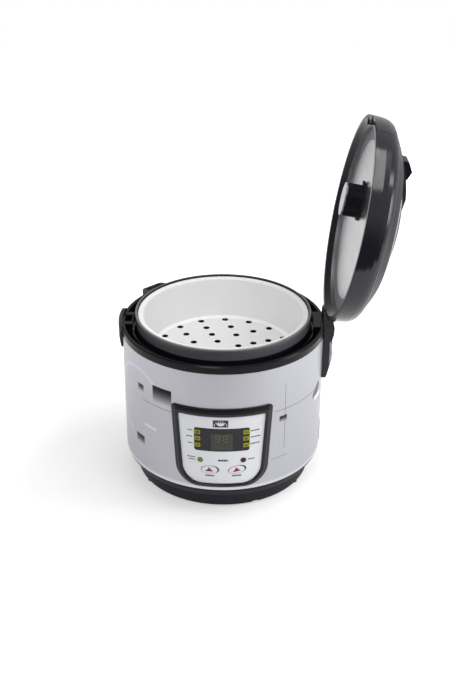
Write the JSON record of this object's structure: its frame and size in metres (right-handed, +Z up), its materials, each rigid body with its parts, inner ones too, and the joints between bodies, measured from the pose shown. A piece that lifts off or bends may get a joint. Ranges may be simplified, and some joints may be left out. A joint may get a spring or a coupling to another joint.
{
  "type": "electric pressure cooker",
  "caption": "Round countertop electric cooker with a hinged domed lid standing open, a lift-out pot with a steaming tray and a front control panel.",
  "frame": {"origin": "point on the pot's vertical axis, on the surface that the feet stand on", "axes": "+Z up, -Y towards the front and the control panel, +X towards the lid's hinge"},
  "size_m": [0.3718, 0.2723, 0.495],
  "materials": {
    "base_black": "fine matt texture",
    "collar_black": "satin black",
    "printed_steel": "silver with printed patches",
    "grey_plastic": "matt grey",
    "galvanised": "galvanised sheet",
    "cast_aluminium": "machined top, cast sides",
    "element_steel": "dark oxidised sheath",
    "ceramic_cream": "unglazed",
    "brushed_steel": "brushed",
    "spring_steel": "drawn wire",
    "pin_steel": "polished",
    "pot_coating": "dark non-stick",
    "tray_white": "satin white",
    "panel_gloss": "gloss black",
    "panel_silver": "pearl silver",
    "window_dark": "smoked",
    "display_grey": "liquid crystal",
    "icon_green": "printed",
    "button_white": "white with printed marks",
    "button_red": "dark red",
    "button_green": "olive green",
    "board_green": "solder mask",
    "component_dark": "moulded",
    "cup_clear": "translucent",
    "lid_gloss": "piano black",
    "lid_satin": "satin charcoal",
    "trim_chrome": "bright",
    "seal_silicone": "grey silicone",
    "rubber_black": "matt"
  },
  "bodies": {
    "cooker_body": {"base_shell": "base_black", "bottom_cover": "grey_plastic", "rubber_feet": "rubber_black", "base_screws": "pin_steel", "outer_sleeve": "printed_steel", "inner_liner": "galvanised", "heating_plate": "cast_aluminium", "heating_element": "element_steel", "heater_posts": "ceramic_cream", "thermal_fuse": "ceramic_cream", "sensor_spring": "spring_steel", "sensor_bracket": "galvanised", "collar_ring": "collar_black", "panel_bezel": "panel_gloss", "panel_face": "panel_silver", "display_window": "window_dark", "display_module": "display_grey", "mode_lamps": "icon_green", "control_board": "board_green", "tact_switches": "component_dark", "power_board": "board_green", "power_relay": "component_dark", "power_inlet": "base_black", "inlet_pins": "pin_steel", "hinge_bracket": "collar_black", "hinge_pin": "pin_steel", "hinge_spring": "spring_steel", "drip_cup_holder": "collar_black", "latch_keeper": "collar_black", "ladle_lug": "collar_black"},
    "lid": {"lid_cover": "lid_gloss", "lid_top_panel": "lid_satin", "lid_spine": "lid_gloss", "lid_trim": "trim_chrome", "lid_base": "lid_satin", "lid_screws": "pin_steel", "lid_hinge_arm": "lid_satin", "inner_plate": "brushed_steel", "lid_seal": "seal_silicone", "vent_body": "lid_satin", "vent_cap": "brushed_steel", "vent_grommet": "rubber_black", "steam_duct": "grey_plastic", "latch_pin": "pin_steel", "latch_spring": "spring_steel"},
    "release_button": {"release_button": "lid_gloss"},
    "latch_hook": {"latch_hook": "brushed_steel"},
    "steam_valve": {"steam_valve": "lid_satin"},
    "drip_cup": {"drip_cup": "cup_clear"},
    "inner_pot": {"inner_pot": "pot_coating"},
    "steam_tray": {"steam_tray": "tray_white"},
    "sensor_cup": {"sensor_cup": "brushed_steel"},
    "cancel_button": {"cancel_button": "button_white"},
    "start_button": {"start_button": "button_white"},
    "timer_button": {"timer_button": "button_red"},
    "warm_button": {"warm_button": "button_green"}
  },
  "joints": [
    {"name": "lid_hinge", "type": "hinge", "parent": "cooker_body", "child": "lid", "pos_m": [0.1384, 0, 0.2269], "axis": [0, 1, 0], "range_deg": [-100.5, 0], "stiffness_Nm_per_rad": 0.6, "springref_deg": 45.84},
    {"name": "release_button_press", "type": "slide", "parent": "lid", "child": "release_button", "axis": [-0.1822, 0, -0.9833], "range_m": [0, 0.0015], "stiffness_N_per_m": 400, "springref_m": -0.001},
    {"name": "latch_hook_turn", "type": "hinge", "parent": "lid", "child": "latch_hook", "pos_m": [0.19182, 0, 0.48387], "axis": [0, 1, 0], "range_deg": [-10.2, 0]},
    {"name": "steam_valve_lift", "type": "slide", "parent": "lid", "child": "steam_valve", "axis": [0.9833, 0, -0.1822], "range_m": [0, 0.03]},
    {"name": "drip_cup_pull", "type": "slide", "parent": "cooker_body", "child": "drip_cup", "axis": [1, 0, 0], "range_m": [0, 0.03]},
    {"name": "pot_lift", "type": "slide", "parent": "cooker_body", "child": "inner_pot", "axis": [0, 0, 1], "range_m": [0, 0.18]},
    {"name": "tray_lift", "type": "slide", "parent": "inner_pot", "child": "steam_tray", "axis": [0, 0, 1], "range_m": [0, 0.06]},
    {"name": "sensor_press", "type": "slide", "parent": "cooker_body", "child": "sensor_cup", "axis": [0, 0, 1], "range_m": [-0.003, 0], "stiffness_N_per_m": 500, "springref_m": 0.002, "deforming": ["sensor_spring"]},
    {"name": "cancel_button_press", "type": "slide", "parent": "cooker_body", "child": "cancel_button", "axis": [0.1184, 0.993, 0], "range_m": [0, 0.0008], "stiffness_N_per_m": 500, "springref_m": -0.0005},
    {"name": "start_button_press", "type": "slide", "parent": "cooker_body", "child": "start_button", "axis": [-0.1426, 0.9898, 0], "range_m": [0, 0.0008], "stiffness_N_per_m": 500, "springref_m": -0.0005},
    {"name": "timer_button_press", "type": "slide", "parent": "cooker_body", "child": "timer_button", "axis": [-0.2062, 0.9785, 0], "range_m": [0, 0.0008], "stiffness_N_per_m": 500, "springref_m": -0.0005},
    {"name": "warm_button_press", "type": "slide", "parent": "cooker_body", "child": "warm_button", "axis": [0.2062, 0.9785, 0], "range_m": [0, 0.0008], "stiffness_N_per_m": 500, "springref_m": -0.0005}
  ],
  "couplings": [
    {"joint": "latch_hook_turn", "follows": "release_button_press", "rad_per_m": -117.65}
  ]
}
